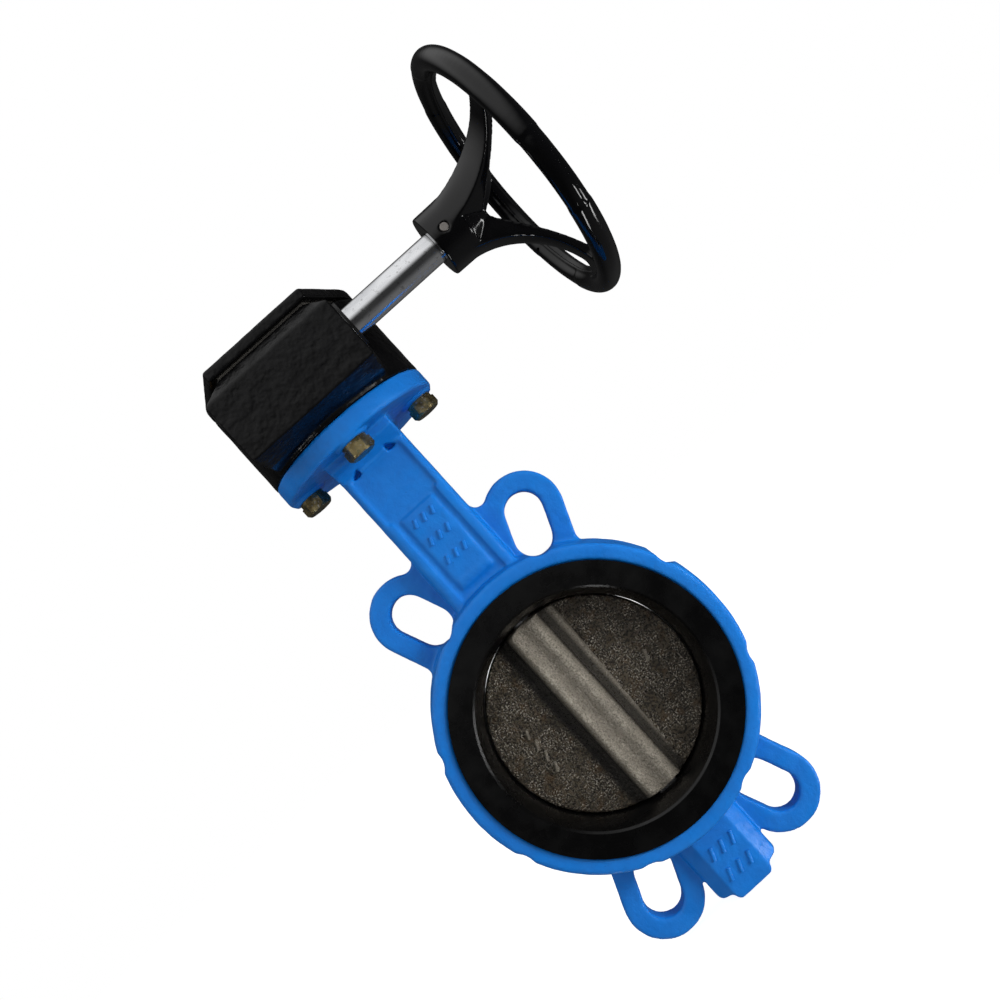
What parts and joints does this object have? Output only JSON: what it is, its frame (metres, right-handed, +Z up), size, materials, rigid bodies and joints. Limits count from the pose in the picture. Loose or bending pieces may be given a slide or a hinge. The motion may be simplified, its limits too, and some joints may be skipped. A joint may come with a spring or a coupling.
{
  "type": "butterfly valve",
  "caption": "Wafer butterfly valve with a rubber-seated disc, slotted ears, a worm gear operator on its neck and a spoked handwheel on a side shaft.",
  "frame": {"origin": "where the stem axis crosses the pipe axis, at the middle of the disc", "axes": "+Z up the stem to the gearbox, +X along the input shaft to the handwheel, Y along the pipe"},
  "size_m": [0.2187, 0.1625, 0.3812],
  "materials": {
    "blue_epoxy": "fusion bonded epoxy, satin gloss",
    "seat_rubber": "moulded EPDM, satin",
    "cast_disc": "sand cast, dark and grainy",
    "stainless_steel": "ground",
    "bearing_bronze": "sintered bronze",
    "seal_rubber": "nitrile rubber",
    "spring_steel": "spring steel, oiled",
    "machined_steel": "machined and hardened",
    "yellow_passivated": "zinc plated, yellow passivated",
    "black_paint": "gloss black over sand casting",
    "gasket_fibre": "compressed fibre",
    "black_oxide": "black oxide",
    "gear_iron": "machined ductile iron",
    "plated_shaft": "bright plated",
    "zinc_plated": "bright zinc",
    "indicator_plastic": "moulded, yellow",
    "handwheel_gloss": "thick gloss black dip coat"
  },
  "bodies": {
    "valve": {"valve_body": "blue_epoxy", "seat_liner": "seat_rubber", "stem_bush_lower": "bearing_bronze", "stem_bush_middle": "bearing_bronze", "stem_bush_upper": "bearing_bronze", "stem_o_rings": "seal_rubber", "stem_thrust_washer": "bearing_bronze", "flange_bolts": "yellow_passivated", "flange_spring_washers": "yellow_passivated", "gearbox_housing": "black_paint", "gearbox_cover": "black_paint", "cover_gasket": "gasket_fibre", "cover_screws": "black_oxide", "wheel_bush_lower": "bearing_bronze", "wheel_bush_upper": "bearing_bronze", "wheel_o_ring": "seal_rubber", "worm_bush_inner": "bearing_bronze", "worm_bush_outer": "bearing_bronze", "thrust_washers": "machined_steel", "input_seal": "seal_rubber", "worm_bore_plug": "black_paint", "stop_screws": "black_oxide", "stop_lock_nuts": "zinc_plated"},
    "disc_and_stem": {"disc": "cast_disc", "stem": "stainless_steel", "stem_circlip": "spring_steel", "stem_key": "machined_steel", "worm_wheel": "gear_iron", "position_indicator": "indicator_plastic", "indicator_screw": "stainless_steel"},
    "handwheel_and_worm": {"handwheel": "handwheel_gloss", "handwheel_pin": "spring_steel", "input_shaft": "plated_shaft", "worm": "machined_steel", "worm_pin": "machined_steel"}
  },
  "joints": [
    {"name": "disc_turn", "type": "hinge", "parent": "valve", "child": "disc_and_stem", "pos_m": [0, 0, 0], "axis": [0, 0, 1], "range_deg": [0, 90]},
    {"name": "handwheel_turn", "type": "hinge", "parent": "valve", "child": "handwheel_and_worm", "pos_m": [0, -0.04, 0.2032], "axis": [1, 0, 0], "range_deg": [0, 2160]}
  ],
  "couplings": [
    {"joint": "handwheel_turn", "follows": "disc_turn", "ratio": 24}
  ]
}
